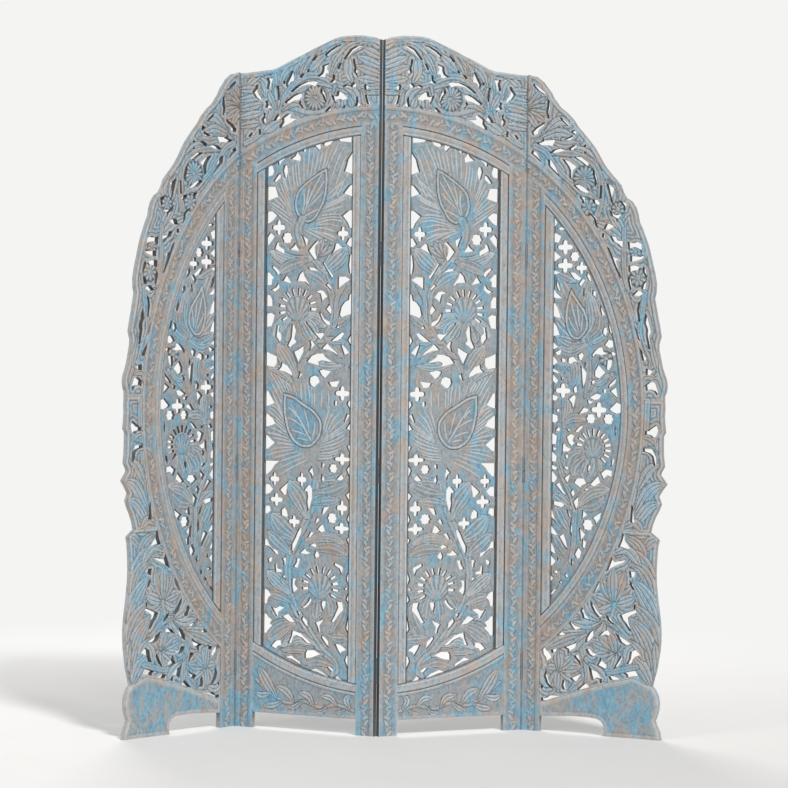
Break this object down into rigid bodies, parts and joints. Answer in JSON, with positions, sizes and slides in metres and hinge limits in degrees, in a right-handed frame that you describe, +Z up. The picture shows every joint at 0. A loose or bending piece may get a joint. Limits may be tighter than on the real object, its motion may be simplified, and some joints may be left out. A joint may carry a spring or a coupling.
{
  "type": "carved folding screen",
  "caption": "Carved and pierced wooden folding screen with hinged panels, a round figure running over all of them and a distressed whitewash over blue and brown.",
  "frame": {"origin": "centre of the underside of the right inner panel's centre foot, on the floor, with the screen as it stands in the picture", "axes": "+X along the line of the screen to the right seen from the front, +Y from the front to the back, +Z up"},
  "size_m": [1.4049, 0.4327, 1.843],
  "materials": {
    "frame_paint": "worn whitewash, satin wax",
    "moulding_paint": "worn pink-beige and blue paint, satin wax",
    "pierced_board_paint": "worn whitewash over blue and brown, satin wax",
    "carved_board_paint": "worn whitewash over blue and brown, satin wax",
    "raw_wood": "bare hardwood",
    "hinge_steel": "aged dark steel",
    "screw_steel": "aged dark steel"
  },
  "bodies": {
    "right_inner_panel": {"centre_fold_pins": "hinge_steel", "centre_fold_right_leaves": "hinge_steel", "centre_fold_right_screws": "screw_steel", "right_fold_inner_leaves": "hinge_steel", "right_fold_inner_screws": "screw_steel", "right_fold_pins": "hinge_steel", "right_inner_arch_rail": "frame_paint", "right_inner_bottom_arc_bead": "moulding_paint", "right_inner_bottom_rail": "frame_paint", "right_inner_centre_bead": "moulding_paint", "right_inner_centre_stile": "frame_paint", "right_inner_crest_board": "carved_board_paint", "right_inner_dowels": "raw_wood", "right_inner_hinge_bead": "moulding_paint", "right_inner_hinge_stile": "frame_paint", "right_inner_jali_board": "pierced_board_paint", "right_inner_top_arc_bead": "moulding_paint"},
    "left_inner_panel": {"centre_fold_left_leaves": "hinge_steel", "centre_fold_left_screws": "screw_steel", "left_fold_inner_leaves": "hinge_steel", "left_fold_inner_screws": "screw_steel", "left_fold_pins": "hinge_steel", "left_inner_arch_rail": "frame_paint", "left_inner_bottom_arc_bead": "moulding_paint", "left_inner_bottom_rail": "frame_paint", "left_inner_centre_bead": "moulding_paint", "left_inner_centre_stile": "frame_paint", "left_inner_crest_board": "carved_board_paint", "left_inner_dowels": "raw_wood", "left_inner_hinge_bead": "moulding_paint", "left_inner_hinge_stile": "frame_paint", "left_inner_jali_board": "pierced_board_paint", "left_inner_top_arc_bead": "moulding_paint"},
    "right_outer_panel": {"right_fold_outer_leaves": "hinge_steel", "right_fold_outer_screws": "screw_steel", "right_outer_arc_bead": "moulding_paint", "right_outer_crest_board": "carved_board_paint", "right_outer_dowels": "raw_wood", "right_outer_foot_board": "carved_board_paint", "right_outer_hinge_bead": "moulding_paint", "right_outer_hinge_stile": "frame_paint", "right_outer_jali_board": "pierced_board_paint", "right_outer_lower_arch_rail": "frame_paint", "right_outer_side_board": "carved_board_paint", "right_outer_spandrel_board": "carved_board_paint", "right_outer_upper_arch_rail": "frame_paint"},
    "left_outer_panel": {"left_fold_outer_leaves": "hinge_steel", "left_fold_outer_screws": "screw_steel", "left_outer_arc_bead": "moulding_paint", "left_outer_crest_board": "carved_board_paint", "left_outer_dowels": "raw_wood", "left_outer_foot_board": "carved_board_paint", "left_outer_hinge_bead": "moulding_paint", "left_outer_hinge_stile": "frame_paint", "left_outer_jali_board": "pierced_board_paint", "left_outer_lower_arch_rail": "frame_paint", "left_outer_side_board": "carved_board_paint", "left_outer_spandrel_board": "carved_board_paint", "left_outer_upper_arch_rail": "frame_paint"}
  },
  "joints": [
    {"name": "centre_fold", "type": "hinge", "parent": "right_inner_panel", "child": "left_inner_panel", "pos_m": [-0.02759, -0.00515, 0.7], "axis": [0, 0, 1], "range_deg": [-129.8, 50.2]},
    {"name": "right_fold", "type": "hinge", "parent": "right_inner_panel", "child": "right_outer_panel", "pos_m": [0.33909, 0.19231, 0.7], "axis": [0, 0, 1], "range_deg": [-128, 52]},
    {"name": "left_fold", "type": "hinge", "parent": "left_inner_panel", "child": "left_outer_panel", "pos_m": [-0.4269, 0.11315, 0.7], "axis": [0, 0, 1], "range_deg": [-74.4, 105.6]}
  ]
}
